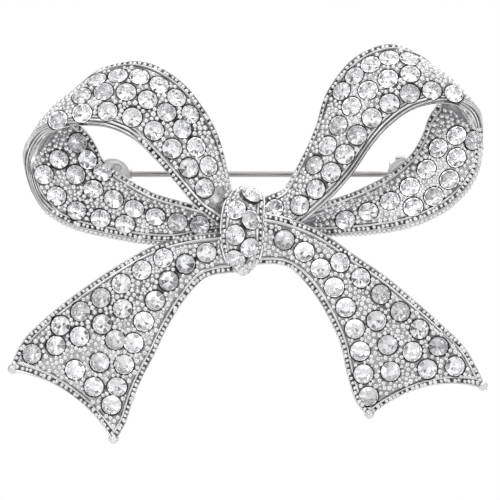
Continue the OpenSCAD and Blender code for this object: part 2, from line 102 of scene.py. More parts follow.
KNOT_LEFT = [
    (-3, -2.9, 1), (-3.1, -2.8, 3.2), (-3.5, -3.5, 4.9), (-3.8, -5, 5.8), (-3.9, -6.6, 6.1),
    (-3.8, -8.2, 5.8), (-3.4, -9.6, 4.8), (-2.9, -10.3, 3.2), (-2.7, -10.3, 1),
]
KNOT_RIGHT = [
    (0.9, -2.7, 1), (1, -2.5, 3.2), (1.1, -3.2, 4.8), (1.05, -4.8, 5.5), (1, -6.6, 5.8),
    (0.9, -8.3, 5.5), (0.6, -9.6, 4.6), (0.2, -10.3, 3.2), (0, -10.3, 1),
]


def curve(points, u):
    """Smooth curve through the points, at steps u."""
    p = np.asarray(points, float)
    n = len(p) - 1
    i = np.clip(np.floor(u).astype(int), 0, n - 1)
    f = (u - i)[..., None]
    b, c = p[i], p[i + 1]
    a = np.where((i > 0)[..., None], p[np.maximum(i - 1, 0)], 2 * b - c)
    d = np.where((i + 2 <= n)[..., None], p[np.minimum(i + 2, n)], 2 * c - b)
    return 0.5 * (2 * b + (c - a) * f + (2 * a - 5 * b + 4 * c - d) * f**2 + (3 * b - a - 3 * c + d) * f**3)


def unit(v):
    return v / np.linalg.norm(v, axis=-1, keepdims=True)


def ease(f):
    """Smooth step from 0 to 1."""
    g = np.clip(f, 0, 1)
    return g * g * (3 - 2 * g)


def running_length(points):
    """Length along a line up to each of its points."""
    return np.concatenate([[0], np.cumsum(np.linalg.norm(np.diff(points, axis=0), axis=1))])


NEVER = 99.0
NOTCH_POWER = 6
# A loop's crown starts to turn into a hollow this far before its turn, and takes this long, in u
TURN_EARLY = 2
TURN_SPAN = 3
STEP_SAMPLES = 600


class Ribbon:
    """A crowned ribbon between two edge curves. u counts along the edges' points and v across.

    hand is the sign that turns its normals outwards. From the step turn on it is the inner face that
    is seen, hollowed by inner. notch moves the middle of its end, x and z. Its near edge has reeds
    between the steps reeded, and is folded round the step fold. lip is 1 for a raised outer lip.
    """

    def __init__(
        self, near, far, hand, crown,
        inner=0.0, turn=NEVER, notch=(0, 0), reeded=(0, 0), lip=0.0, fold=NEVER,
    ):
        self.near, self.far, self.hand = near, far, hand
        self.crown, self.inner, self.turn, self.notch = crown, inner, turn, notch
        self.reeded, self.lip, self.fold = reeded, lip, fold
        self.last = len(near) - 1

    def edge(self, points, u):
        """Points on an edge curve, in the frame's axes."""
        q = curve(points, u)
        return np.stack([q[..., 0], BACK_Y - q[..., 2], q[..., 1]], -1)

    def flat(self, u, v):
        """Points on straight lines between the edges, notched towards the end."""
        u, v = np.broadcast_arrays(np.asarray(u, float), np.asarray(v, float))
        dip = 4 * v * (1 - v) * np.maximum(0, u / self.last) ** NOTCH_POWER
        notch = np.array([self.notch[0], 0, self.notch[1]])
        near, far = self.edge(self.near, u), self.edge(self.far, u)
        return near * (1 - v[..., None]) + far * v[..., None] + notch * dip[..., None]

    def across(self, u, v, surface):
        """Outward unit normals of a surface that is given as a function of u and v."""
        side = surface(u, np.asarray(v) + PROBE) - surface(u, np.asarray(v) - PROBE)
        along = surface(np.asarray(u) + PROBE, v) - surface(np.asarray(u) - PROBE, v)
        return self.hand * unit(np.cross(side, along))

    def bulge(self, u):
        """Height of the crown, below 0 past a loop's turn."""
        turned = ease((np.asarray(u, float) - self.turn + TURN_EARLY) / TURN_SPAN)
        return self.crown * (1 - turned) - self.inner * turned

    def middle(self, u, v):
        """Points on the crowned surface halfway through the ribbon's thickness."""
        rise = self.bulge(u) * 4 * np.asarray(v) * (1 - np.asarray(v))
        return self.flat(u, v) + self.across(u, v, self.flat) * rise[..., None]

    def normal(self, u, v):
        return self.across(u, v, self.middle)

    def width(self, u):
        return np.linalg.norm(self.flat(u, 1.0) - self.flat(u, 0.0), axis=-1)

    def face(self, u, v, side, lift, base):
        """Points over the outer face where side is 1, and over the inner one where it is -1."""
        return self.middle(u, v) + self.normal(u, v) * side * (base + lift)

    def steps(self, v, pitch, start, end):
        """Values of u spaced evenly, a pitch apart, along the line of constant v."""
        u = np.linspace(start, end, STEP_SAMPLES)
        way = running_length(self.middle(u, np.full_like(u, v)))
        return np.interp(np.linspace(0, way[-1], max(2, round(way[-1] / pitch) + 1)), way, u)


RIBBONS = {
    "left_loop": Ribbon(
        LEFT_NEAR, LEFT_FAR, hand=1, crown=0.8, inner=0.25, turn=11, reeded=(4.6, 12), lip=1, fold=10
    ),
    "right_loop": Ribbon(
        RIGHT_NEAR, RIGHT_FAR, hand=-1, crown=0.8, inner=0.25, turn=11.5, reeded=(-1, 10.4), lip=1, fold=10.6
    ),
    "left_tail": Ribbon(LEFT_TAIL_OUTER, LEFT_TAIL_INNER, hand=-1, crown=0.7, notch=(1.1, 1.65)),
    "right_tail": Ribbon(RIGHT_TAIL_OUTER, RIGHT_TAIL_INNER, hand=1, crown=0.7, notch=(-0.4, 2.05)),
    "knot": Ribbon(KNOT_LEFT, KNOT_RIGHT, hand=-1, crown=1.35),
}


def faces_shown(ribbon):
    """The sides of a ribbon that carry stones: a loop's inner face shows past its turn."""
    return (1, -1) if ribbon.turn < ribbon.last else (1,)


# ---------------------------------------------------------------- mesh helpers
def make_mesh(name, verts, faces, smooth_deg=None):
    """Mesh from millimetre points. smooth_deg shades it smooth and keeps sharper edges sharp."""
    mesh = bpy.data.meshes.new(name)
    mesh.from_pydata([tuple(p) for p in np.asarray(verts, float) * MM], [], [list(f) for f in faces])
    mesh.update()
    if smooth_deg is not None:
        smooth(mesh, smooth_deg)
    return mesh


def smooth(mesh, degrees):
    mesh.polygons.foreach_set("use_smooth", [True] * len(mesh.polygons))
    mesh.set_sharp_from_angle(angle=math.radians(degrees))
    mesh.update()


def add_piece(name, mesh, metal, body, nodes=()):
    """Piece of the visual model. metal is None for a mesh that has its materials already."""
    piece = bpy.data.objects.new(name, mesh)
    bpy.context.scene.collection.objects.link(piece)
    if metal:
        mesh.materials.append(metal)
    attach(piece, body)
    if nodes:
        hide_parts(*nodes)


def volume(verts, faces):
    """Signed volume of a closed mesh, positive when its faces look outwards."""
    v = np.asarray(verts, float)
    total = 0.0
    for size in set(len(f) for f in faces):
        f = np.array([g for g in faces if len(g) == size])
        for k in range(1, size - 1):
            total += np.einsum("ij,ij->i", v[f[:, 0]], np.cross(v[f[:, k]], v[f[:, k + 1]])).sum()
    return total / 6


def outwards(verts, faces):
    return faces if volume(verts, faces) > 0 else [list(f)[::-1] for f in faces]


def tube(rings, wall=0):
    """Vertices and faces of a closed skin through rings of points. A ring is a face, a wall of that
    many points, the opposite face and another wall, so that the ends close across the thickness."""
    count, n = rings.shape[:2]
    verts = rings.reshape(-1, 3)
    i, j = np.meshgrid(np.arange(count - 1), np.arange(n), indexing="ij")
    k = (j + 1) % n
    walls = np.stack([i * n + j, i * n + k, (i + 1) * n + k, (i + 1) * n + j], -1).reshape(-1, 4).tolist()
    across = n // 2 - wall
    ends = [[m, m + 1, n - wall - 2 - m, n - wall - 1 - m] for m in range(across - 1)]
    if wall:
        ends.append([across - 1 + m for m in range(wall + 2)])
        ends.append([(n - wall - 1 + m) % n for m in range(wall + 2)])
    caps = [f[::-1] for f in ends] + [[(count - 1) * n + m for m in f] for f in ends]
    return verts, outwards(verts, walls + caps)


def copies(verts, faces, frames):
    """Many copies of a small mesh. A frame is (origin, 3x3 axes as columns, scale)."""
    base = np.asarray(verts, float)
    all_verts = np.concatenate([origin + (base * size) @ axes.T for origin, axes, size in frames])
    all_faces = [[k + i * len(base) for k in f] for i in range(len(frames)) for f in faces]
    return all_verts, all_faces


def lathe(profile, sides):
    """Solid turned about Z from (radius, height) points, starting and ending on the axis."""
    angles = np.arange(sides) * 2 * math.pi / sides
    verts, faces = [(0, 0, profile[0][1])], []
    for r, z in profile[1:-1]:
        verts += [(r * math.cos(a), r * math.sin(a), z) for a in angles]
    verts.append((0, 0, profile[-1][1]))
    rings = len(profile) - 2
    for i in range(sides):
        k = (i + 1) % sides
        faces.append([0, 1 + k, 1 + i])
        for r in range(rings - 1):
            a, b = 1 + r * sides, 1 + (r + 1) * sides
            faces.append([a + i, a + k, b + k, b + i])
        top = 1 + (rings - 1) * sides
        faces.append([top + i, top + k, len(verts) - 1])
    return np.array(verts, float), outwards(verts, faces)


# An axis with more of X in it than this is turned from Z instead
STEEP = 0.8


def axes_for(up, turn=0.0):
    """Axes as columns with the third along up, turned about it."""
    up = unit(np.asarray(up, float))
    side = np.array([1.0, 0, 0]) if abs(up[0]) < STEEP else np.array([0, 0, 1.0])
    x = unit(np.cross(side, up))
    y = np.cross(up, x)
    c, s = math.cos(turn), math.sin(turn)
    return np.stack([c * x + s * y, c * y - s * x, up], 1)


# ---------------------------------------------------------------- castings
RIM_WIDE = 0.95
RIM_STATIONS = np.linspace(0, RIM_WIDE, 17)
# Painted shade over the pave field between the rims
FIELD_SHADE = 0.56
LIP_HIGH = 0.1
LIP_WIDE = 0.13
# Across a milgrain rim: distance in from the edge, height above the face and painted shade, darkest in the
# grooves
MILGRAIN_RIM = [
    (0, 0, 0.5), (0.06, 0.04, 0.1), (0.12, 0, 0.5), (0.18, -0.04, 1), (0.48, -0.04, 1), (0.55, 0.1, 0.5),
    (0.62, 0.17, 0), (0.68, 0.18, 0), (0.74, 0.16, 0), (0.8, 0.06, 0.7), (0.86, -0.03, 1),
    (0.95, 0, FIELD_SHADE),
]
# The same across a plain one
PLAIN_RIM = [(0, 0.08, 0), (0.06, 0.14, 0), (0.15, 0.16, 0), (0.5, 0.16, 0), (0.7, 0.05, 0.2), (0.95, 0, 0.3)]
# Reeds along a loop's near edge, which widen the rim with the ribbon up to REED_MOST
REED_COUNT = 3
REEDS_EASE = 0.6
REED_HIGH = 0.24
REED_ROUND = 0.8
REED_SHADE = 0.7
REED_SHARE = 0.12
REED_MOST = 1.25
# Where a loop folds over, its near edge is drawn in and thinned
FOLD_PULL = 0.6
FOLD_THIN = 0.5
FOLD_REACH = 3.6
# Decoration ends this far past the turn on the outer face and starts this far before it on the inner
OUTER_PAST = 1.2
INNER_BEFORE = 1.6
# Ridges along a side wall and the depth of the grooves between them
WALL_RIDGES = 2
WALL_GROOVE = 0.2
# Points of a ring across a wall, the field between the rims and a cutter, and pitches between rings
WALL_STATIONS = 14
FIELD_STATIONS = 24
CUTTER_STATIONS = 13
RING_PITCH = 0.2
CUTTER_PITCH = 0.4
CUTTER_GROW = 0.03


def rim_form(distance, decorated, reeded=0.0):
    """A rim's height above the face and its painted shade: milgrain's track and line, or reeds, or plain."""
    at, *milgrain = zip(*MILGRAIN_RIM)
    plain_at, *plain = zip(*PLAIN_RIM)
    reed = np.abs(np.sin(REED_COUNT * math.pi * distance / RIM_WIDE)) * (distance < RIM_WIDE)
    # Painted shade down in the hollows between the reeds, none on their crests
    reed_painted_shade = np.where(distance < RIM_WIDE, 1 - reed**REED_SHADE, FIELD_SHADE)
    form = []
    for beaded, smoothed, ridged in zip(milgrain, plain, (REED_HIGH * reed**REED_ROUND, reed_painted_shade)):
        a = np.interp(distance, at, beaded)
        b = np.interp(distance, plain_at, smoothed)
        form.append((a * (1 - reeded) + ridged * reeded) * decorated + b * (1 - decorated))
    return form


def reeds(ribbon, u):
    """1 along the part of a loop's near edge that is reeded."""
    first, last = ribbon.reeded
    return ease((u - first) / REEDS_EASE) * (1 - ease((u - last) / REEDS_EASE)) * (last > first)


def rim_scale(ribbon, u):
    """How much wider than a milgrain rim the near edge's reeds are."""
    wide = np.clip(REED_SHARE * ribbon.width(u), RIM_WIDE, REED_MOST) / RIM_WIDE
    return 1 + (wide - 1) * reeds(ribbon, u)


def folded(ribbon, u):
    """1 where a loop folds over: its near edge is drawn in and thinned there."""
    return ease(1 - np.abs(u - ribbon.fold) / FOLD_REACH)


def decorated(ribbon, u, side):
    """1 where a face carries milgrain and stones, 0 where it is plain."""
    if side > 0:
        return 1 - ease(u - ribbon.turn - OUTER_PAST)
    return ease(u - ribbon.turn + INNER_BEFORE)


def ring_steps(ribbon, to=None, pitch=RING_PITCH, ends=False):
    """Steps of u for a ribbon's rings, with finer ones across an end rim."""
    stop = ribbon.last if to is None else to
    u = ribbon.steps(0.5, pitch, 0, stop)
    if ends:
        before, last = ribbon.middle(np.array([stop - NUDGE, stop]), np.array([0.5, 0.5]))
        rate = np.linalg.norm(before - last) / NUDGE
        fine = stop - RIM_STATIONS / rate
        u = np.unique(np.round(np.concatenate([u[u < fine.min() - NUDGE], fine]), 6))
    return u


def strip_rings(ribbon, u, end_rim=False):
    """Rings of a detailed ribbon (outer face, wall, inner face, wall) and the painted shade of their points.
    """
    u = np.asarray(u, float)[:, None]
    width, near_scale = ribbon.width(u), rim_scale(ribbon, u)
    rim = RIM_STATIONS[None, :] / width
    inside = np.linspace(0, 1, FIELD_STATIONS + 2)[1:-1][None, :]
    fold = folded(ribbon, u)
    drawn = FOLD_PULL * fold
    squeeze = near_scale - drawn / RIM_WIDE
    near = drawn / width + rim * squeeze
    field = near[:, -1:] + (1 - near[:, -1:] - rim[:, -1:]) * inside
    v = np.concatenate([near, field, 1 - rim[:, ::-1]], 1)
    distance = np.minimum((v * width - drawn) / squeeze, (1 - v) * width)
    reeded = reeds(ribbon, u) * (v < 0.5)
    if end_rim:
        line = ribbon.middle(u, np.full_like(u, 0.5))
        step = np.linalg.norm(line[-1] - line, axis=-1)
        distance = np.minimum(distance, step)
    faces, shade_levels = {}, {}
    for side in (1, -1):
        rise, shade_levels[side] = rim_form(distance, decorated(ribbon, u, side), reeded)
        rise = rise + ribbon.lip * LIP_HIGH * (distance < LIP_WIDE) * (1 - reeded)
        thin = 1 - FOLD_THIN * fold * (v < 0.5) * (1 - ease(distance / RIM_WIDE))
        height = side * (THICK / 2 * thin + rise)
        faces[side] = ribbon.middle(u, v) + ribbon.normal(u, v) * height[..., None]
    t = np.linspace(0, 1, WALL_STATIONS + 2)[1:-1][None, :]
    # hollow also paints shade into the grooves of the side walls
    hollow = 1 - np.abs(np.sin(WALL_RIDGES * math.pi * t)) + 0 * width
    groove = WALL_GROOVE * hollow / width
    across = THICK / 2 * (1 - 2 * t) + 0 * groove
    walls = [
        ribbon.middle(u, g) + ribbon.normal(u, g) * h[..., None]
        for g, h in ((1 - groove, across), (groove + drawn / width, -across * (1 - FOLD_THIN * fold)))
    ]
    rings = np.concatenate([faces[1], walls[0], faces[-1][:, ::-1], walls[1]], 1)
    return rings, np.concatenate([shade_levels[1], hollow, shade_levels[-1][:, ::-1], hollow], 1)


def plain_rings(ribbon, u, grow):
    """Rings of a plain ribbon, grown on all sides, that cuts room for the real one."""
    u = np.asarray(u, float)[:, None]
    stations = np.linspace(0, 1, CUTTER_STATIONS)[None, :]
    v = stations * (1 + 2 * grow / ribbon.width(u)) - grow / ribbon.width(u)
    height = THICK / 2 + RIM + grow
    p, n = ribbon.middle(u, v), ribbon.normal(u, v)
    return np.concatenate([p + n * height, (p - n * height)[:, ::-1]], 1)


KNOT_PITCH = 0.12
KNOT_RIM = 0.35
# Rings' points down the knot's side walls, as shares of the way to its back
KNOT_FALL = [0.06, 0.12, 0.2, 0.35, 0.5, 0.65, 0.8]
# Painted shade on the knot's side walls and on its flat back
WALL_SHADE = 0.6
BACK_SHADE = 0.12


def knot_rings(grow=0.0, detail=True):
    """Rings of the knot, its outer face closed by a flat back, and the painted shade of their points."""
    ribbon = RIBBONS["knot"]
    u = ring_steps(ribbon, pitch=KNOT_PITCH if detail else CUTTER_PITCH)[:, None]
    width = ribbon.width(u)
    rim = RIM_STATIONS[None, :] / width
    inside = np.linspace(0, 1, FIELD_STATIONS + 2)[1:-1][None, :]
    field = rim[:, -1:] + (1 - 2 * rim[:, -1:]) * inside
    v = np.concatenate([rim, field, 1 - rim[:, ::-1]], 1)
    height, level = rim_form(np.minimum(v, 1 - v) * width, 1.0)
    height = KNOT_RIM * height - RIM if detail else np.full_like(v, grow)
    face = ribbon.middle(u, v) + ribbon.normal(u, v) * height[..., None]
    fall = np.array(KNOT_FALL)[None, :, None]

    def on_back(points):
        foot = points.copy()
        foot[..., 1] = BACK_Y + grow
        return foot

    right, left = [end * (1 - fall) + on_back(end) * fall for end in (face[:, -1:], face[:, :1])]
    rings = np.concatenate([face, right, on_back(face[:, ::-1]), left[:, ::-1]], 1)
    side = np.full((len(u), len(KNOT_FALL)), WALL_SHADE)
    return rings, np.concatenate([level, side, np.full_like(level, BACK_SHADE), side], 1)


def temporary(verts, faces):
    o = bpy.data.objects.new("cutter", make_mesh("cutter", verts, faces))
    bpy.context.scene.collection.objects.link(o)
    return o


def discard(objects):
    for o in objects:
        bpy.data.objects.remove(o)


def applied(o):
    """Mesh of an object with its modifiers applied. The object itself is removed."""
    bpy.context.view_layer.update()
    done = o.evaluated_get(bpy.context.evaluated_depsgraph_get())
    mesh = bpy.data.meshes.new_from_object(done)
    discard([o])
    return mesh


def cut(verts, faces, cutters):
    """Mesh of a solid with the cutters taken away."""
    solid = temporary(verts, faces)
    for cutter in cutters:
        m = solid.modifiers.new("cut", "BOOLEAN")
        m.operation, m.solver, m.object = "DIFFERENCE", "MANIFOLD", cutter
    mesh = applied(solid)
    mesh.materials.clear()
    return mesh


# ---------------------------------------------------------------- stones' places, from the CAD nodes
STONE_R = 1.1
PAVILION_H = 0.85


def islands(mesh):
    """Point sets, in millimetres, of the separate solids of a mesh whose corners may be split."""
    points = np.array([v.co for v in mesh.vertices]) / MM
    keys, index = np.unique(np.round(points, 4), axis=0, return_inverse=True)
    index = index.reshape(-1)
    parent = list(range(len(keys)))

    def root(i):
        while parent[i] != i:
            parent[i] = parent[parent[i]]
            i = parent[i]
        return i

    for e in mesh.edges:
        a, b = root(index[e.vertices[0]]), root(index[e.vertices[1]])
        if a != b:
            parent[a] = b
    groups = {}
    for i in range(len(keys)):
        groups.setdefault(root(i), []).append(keys[i])
    return [np.array(g) for g in groups.values()]


def stone_frame(points):
    """Middle of the girdle and axis of one stone, which is flattest along its axis and pointed below."""
    mean = points.mean(0)
    up = np.linalg.svd(points - mean)[2][2]
    along = (points - mean) @ up
    if along.max() > -along.min():
        up, along = -up, -along
    return points[np.argmin(along)] + up * PAVILION_H, up


CASTING_NAMES = list(RIBBONS)
ROWS = {}
for node_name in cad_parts:
    if "_stones_" in node_name:
        found = [stone_frame(p) for p in islands(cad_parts[node_name].data)]
        ROWS[node_name] = sorted(found, key=lambda f: tuple(np.round(f[0], 3)))
STONES = {n: [s for row in ROWS for s in ROWS[row] if row.startswith(n + "_stones")] for n in CASTING_NAMES}


# ---------------------------------------------------------------- materials
def material(name, metallic=0.0, roughness=0.3, color=(0.8, 0.8, 0.8), **sockets):
    m = bpy.data.materials.new(name)
    m.use_nodes = True
    bsdf = m.node_tree.nodes["Principled BSDF"]
    bsdf.inputs["Metallic"].default_value = metallic
    bsdf.inputs["Roughness"].default_value = roughness
    bsdf.inputs["Base Color"].default_value = (*color, 1)
    for key, value in sockets.items():
        bsdf.inputs[key.replace("_", " ")].default_value = value
    return m, m.node_tree, bsdf


def noise(tree, scale, detail=3.0, stretch=(1, 1, 1)):
    """Noise in the object's own coordinates. scale counts features to a metre."""
    coords = tree.nodes.new("ShaderNodeTexCoord")
    mapping = tree.nodes.new("ShaderNodeMapping")
    mapping.inputs["Scale"].default_value = stretch
    texture = tree.nodes.new("ShaderNodeTexNoise")
    texture.inputs["Scale"].default_value = scale
    texture.inputs["Detail"].default_value = detail
    tree.links.new(coords.outputs["Object"], mapping.inputs["Vector"])
    tree.links.new(mapping.outputs["Vector"], texture.inputs["Vector"])
    return texture.outputs["Fac"]


# Most of a noise lies between these
NOISE_SPAN = (0.3, 0.7)


def spread(tree, value, low, high, inside=NOISE_SPAN):
    """Map a noise onto a range of numbers."""
    node = tree.nodes.new("ShaderNodeMapRange")
    node.inputs["From Min"].default_value, node.inputs["From Max"].default_value = inside
    node.inputs["To Min"].default_value, node.inputs["To Max"].default_value = low, high
    tree.links.new(value, node.inputs["Value"])
    return node.outputs["Result"]


def color_ramp(tree, value, stops):
    """Colour ramp through (position, colour) stops in rising order."""
    ramp = tree.nodes.new("ShaderNodeValToRGB")
    elements = ramp.color_ramp.elements
    elements.remove(elements[1])
    elements[0].position, elements[0].color = stops[0][0], (*stops[0][1], 1)
    for place, color in stops[1:]:
        elements.new(place).color = (*color, 1)
    tree.links.new(value, ramp.inputs["Fac"])
    return ramp.outputs["Color"]


def shades(tree, value, low, high):
    """Colour between two by a noise."""
    return color_ramp(tree, value, list(zip(NOISE_SPAN, (low, high))))


def blend(tree, factor, first, second):
    """Mixture of two colours by a factor."""
    node = tree.nodes.new("ShaderNodeMix")
    node.data_type = "RGBA"
    sockets = {socket.identifier: socket for socket in (*node.inputs, *node.outputs)}
    tree.links.new(factor, sockets["Factor_Float"])
    tree.links.new(first, sockets["A_Color"])
    tree.links.new(second, sockets["B_Color"])
    return sockets["Result_Color"]


def bump(tree, bsdf, height, distance, strength=1.0):
    node = tree.nodes.new("ShaderNodeBump")
    node.inputs["Distance"].default_value = distance
    node.inputs["Strength"].default_value = strength
    tree.links.new(height, node.inputs["Height"])
    tree.links.new(node.outputs["Normal"], bsdf.inputs["Normal"])


# Features to a metre of the noises in several materials
CLOUDS = 900
SHADE_CLOUDS = 2200
POLISH = 1600
STREAKS = 2500
FOIL_WEAR = 4000
GLASS_CLOUDS = 700
GLASS_SCUFFS = 9000


def plated(name, light, dark, rough, grain, shade_tones=None, metallic=1.0):
    """Plated cast metal: cloudy tone, worn polish and the faint grain of the casting. Its optional dark
    colours are shade painted into the recesses, grooves and seats that a point attribute marks."""
    m, tree, bsdf = material(name, metallic=metallic)
    color = shades(tree, noise(tree, CLOUDS), dark, light)
    if shade_tones:
        # The point attribute of painted shade mixes in the dark colours
        mark = tree.nodes.new("ShaderNodeAttribute")
        mark.attribute_name = "painted_shade"
        color = blend(tree, mark.outputs["Fac"], color, shades(tree, noise(tree, SHADE_CLOUDS), *shade_tones))
    tree.links.new(color, bsdf.inputs["Base Color"])
    tree.links.new(spread(tree, noise(tree, POLISH, 4), *rough), bsdf.inputs["Roughness"])
    bump(tree, bsdf, noise(tree, grain, 4), distance=0.00002, strength=0.5)
    return m


def wire(name, light, dark, rough):
    """Drawn wire: fine streaks along X."""
    m, tree, bsdf = material(name, metallic=1.0)
    streaks = noise(tree, STREAKS, stretch=(0.02, 1, 1))
    tree.links.new(shades(tree, streaks, dark, light), bsdf.inputs["Base Color"])
    tree.links.new(spread(tree, streaks, *rough), bsdf.inputs["Roughness"])
    bump(tree, bsdf, streaks, distance=0.00001, strength=0.4)
    return m


def foil(name, dark, light, clouds, rough):
    """Mirror foil behind a stone, dulled in patches."""
    m, tree, bsdf = material(name, metallic=1.0)
    tree.links.new(shades(tree, noise(tree, clouds), dark, light), bsdf.inputs["Base Color"])
    tree.links.new(spread(tree, noise(tree, FOIL_WEAR), *rough), bsdf.inputs["Roughness"])
    return m


def glass(name):
    """Clear crystal with a faint tint and a few scuffs."""
    m, tree, bsdf = material(name, roughness=0.0, color=(1.0, 1.0, 1.0), IOR=1.56, Transmission_Weight=1.0)
    tint = shades(tree, noise(tree, GLASS_CLOUDS), (0.97, 0.98, 0.99), (1, 1, 1))
    scuffs = spread(tree, noise(tree, GLASS_SCUFFS, 5), 0.0, 0.05, inside=(0.55, 0.8))
    tree.links.new(tint, bsdf.inputs["Base Color"])
    tree.links.new(scuffs, bsdf.inputs["Roughness"])
    return m


# Near-black colours of painted shade for the recesses, grooves and seats of the castings
CAST = plated(
    "cast_plate", (0.9, 0.9, 0.91), (0.66, 0.66, 0.67), (0.08, 0.24), 5000,
    shade_tones=[(0.02, 0.02, 0.02), (0.16, 0.16, 0.163)],
)
BEADING = plated("bead_plate", (0.93, 0.93, 0.94), (0.72, 0.72, 0.73), (0.04, 0.16), 6000)
TURNED = plated("turned_plate", (0.82, 0.82, 0.825), (0.68, 0.68, 0.69), (0.26, 0.42), 3500)
SATIN = plated("satin_plate", (0.9, 0.895, 0.89), (0.8, 0.795, 0.79), (0.3, 0.46), 3500, metallic=0.35)
STEEL = wire("pin_steel", (0.55, 0.535, 0.525), (0.4, 0.385, 0.375), (0.16, 0.34))
GLASS = glass("crystal_glass")
FOIL = foil("crystal_foil", (0.88, 0.88, 0.89), (0.99, 0.99, 0.99), 1300, (0.03, 0.12))
WORN_FOIL = foil("worn_foil", (0.74, 0.74, 0.75), (0.97, 0.97, 0.97), 1800, (0.05, 0.2))

# ---------------------------------------------------------------- build the castings
# Seat of a stone: radius and height above its girdle
SEAT_SIDES = 28
SEAT_PROFILE = [(0, -1.0), (0.28, -1.0), (1.1, -0.2), (1.2, 0.06), (1.24, 0.14), (1.24, 0.9), (0, 0.9)]
SEAT_CLEAR = 2.6
# Painted shade in a seat: how high above and how deep below the girdle, and how far from the stone's axis
SEAT_SHADE = 1.3
SEAT_FLOOR = 1.03
SEAT_LIP = 1.215
# The loops are cut back for the tails up to this step
TAIL_OVERLAP = 4
# Edges sharper than these, in degrees, stay sharp
CAST_ANGLE = 38
BEAD_ANGLE = 60
SPUN_ANGLE = 40
FITTING_ANGLE = 28
# Turns of a grain or a stone about its own axis
ANY_TURN = (0, 6.28)
random.seed(7)


def seat_cutters(stones):
    """Cutters for the conical seats, sorted into groups within which no two touch."""
    verts, faces = lathe(SEAT_PROFILE, SEAT_SIDES)
    groups = []
    for origin, up in stones:
        for group in groups:
            if all(np.linalg.norm(origin - other) > SEAT_CLEAR for other, _ in group):
                group.append((origin, up))
                break
        else:
            groups.append([(origin, up)])
    return [temporary(*copies(verts, faces, [(o, axes_for(n), 1.0) for o, n in g])) for g in groups]


def solid_finder(objects):
    """Function that says how deep, in millimetres, a point is inside any of some closed solids."""
    trees = [
        BVHTree.FromPolygons([v.co for v in o.data.vertices], [tuple(p.vertices) for p in o.data.polygons])
        for o in objects
    ]

    def depth(point):
        deepest = -math.inf
        for tree in trees:
            near, normal, _, far = tree.find_nearest(Vector(point) * MM)
            inside = (Vector(point) * MM - near).dot(normal) < 0
            deepest = max(deepest, (far if inside else -far) / MM)
        return deepest

    return depth


knot_cutter = temporary(*tube(knot_rings(CUTTER_GROW, detail=False)[0], len(KNOT_FALL)))
tail_cutters = {}
for name in ("left_tail", "right_tail"):
    hidden_steps = ring_steps(RIBBONS[name], TAIL_OVERLAP, CUTTER_PITCH)
    tail_cutters[name] = temporary(*tube(plain_rings(RIBBONS[name], hidden_steps, CUTTER_GROW)))
COVERS = {
    "left_loop": [knot_cutter, tail_cutters["left_tail"]],
    "right_loop": [knot_cutter, tail_cutters["right_tail"]],
    "left_tail": [knot_cutter],
    "right_tail": [knot_cutter],
    "knot": [],
}


def painted_shade(mesh, name, rings, shade_levels):
    """Point attribute of painted shade: up to 1 in grooves, the pave field and its seats, 0 on ridges and
    plain metal.
    """
    points = np.empty(len(mesh.vertices) * 3)
    mesh.vertices.foreach_get("co", points)
    points = points.reshape(-1, 3) / MM
    corners, values = rings.reshape(-1, 3), shade_levels.reshape(-1)
    tree = KDTree(len(corners))
    for i, corner in enumerate(corners):
        tree.insert(corner, i)
    tree.balance()
    level = np.array([values[tree.find(p)[1]] for p in points])
    for origin, up in STONES[name]:
        gap = points - origin
        height = gap @ up
        flat = np.linalg.norm(gap - height[:, None] * up, axis=1)
        level = np.where((flat < SEAT_LIP) & (height > -SEAT_FLOOR) & (height < SEAT_SHADE), 1, level)
    data = mesh.attributes.new("painted_shade", "FLOAT", "POINT")
    data.data.foreach_set("value", level.astype(np.float32))


for name in CASTING_NAMES:
    if name == "knot":
        rings, shade_levels = knot_rings()
        skin = tube(rings, len(KNOT_FALL))
    else:
        tail = "tail" in name
        rings, shade_levels = strip_rings(RIBBONS[name], ring_steps(RIBBONS[name], ends=tail), tail)
        skin = tube(rings, WALL_STATIONS)
    cutters = seat_cutters(STONES[name])
    mesh = cut(*skin, COVERS[name] + cutters)
    discard(cutters)
    mesh.name = name + "_casting"
    smooth(mesh, CAST_ANGLE)
    painted_shade(mesh, name, rings, shade_levels)
    add_piece(name + "_casting", mesh, CAST, BODY, [name])


# ---------------------------------------------------------------- milgrain and grains
DOME_SIDES = 10
DOME = [(0, -0.6)] + [(math.cos(a), math.sin(a)) for a in (-0.6, 0.0, 0.45, 0.85, 1.2)] + [(0, 1.0)]
BEAD_IN = 0.33
BEAD_R = 0.235
BEAD_LONG = 1.15
BEAD_FLAT = 0.95
BEAD_SIZES = (0.78, 1.2)
BEAD_STRAY = 0.06
BEAD_SKEW = 0.35
BEAD_LIFT = -0.03
BEAD_PITCH = 0.54
WALL_BEADS = 0.3
WALL_SIZES = (0.9, 1.15)
CORNER_R = 0.58
CORNER_IN = 0.26
CORNER_LONG = 1.4
CORNER_BACK = 0.08
END_PROBE = 0.05
END_SAMPLES = 200
# Beads and grains deeper than this in a casting that lies over them are left out. Below 0 is outside it
BEAD_HIDDEN = -0.05
GRAIN_HIDDEN = -0.1
GRAIN_SIZES = [(0.26, 0.34), (0.14, 0.22)]
# Distance from the nearest stone's axis, height past its girdle and likeness to its axis
GRAIN_REACH = (1.34, 4.5)
GRAIN_RISE = 1.2
GRAIN_LEAN = 0.3
GRAIN_CLEAR = 1.12
GRAIN_TIGHT = 0.9
GRAIN_FLAT = 0.75
GRAIN_SINK = 0.15
GRAIN_FACING = 0.6
GRAIN_GAP = 0.62
GRAIN_GRID = 0.11
GRAIN_EDGE = 0.98
GRAIN_ACROSS = (0.02, 0.98)
GRAIN_SHOWN = 0.9
# A smooth patch without grains beside the knot: x and z
BARE_NAME = "left_loop"
BARE_X = (-5.1, -3.2)
BARE_Z = (-5.2, -1.6)


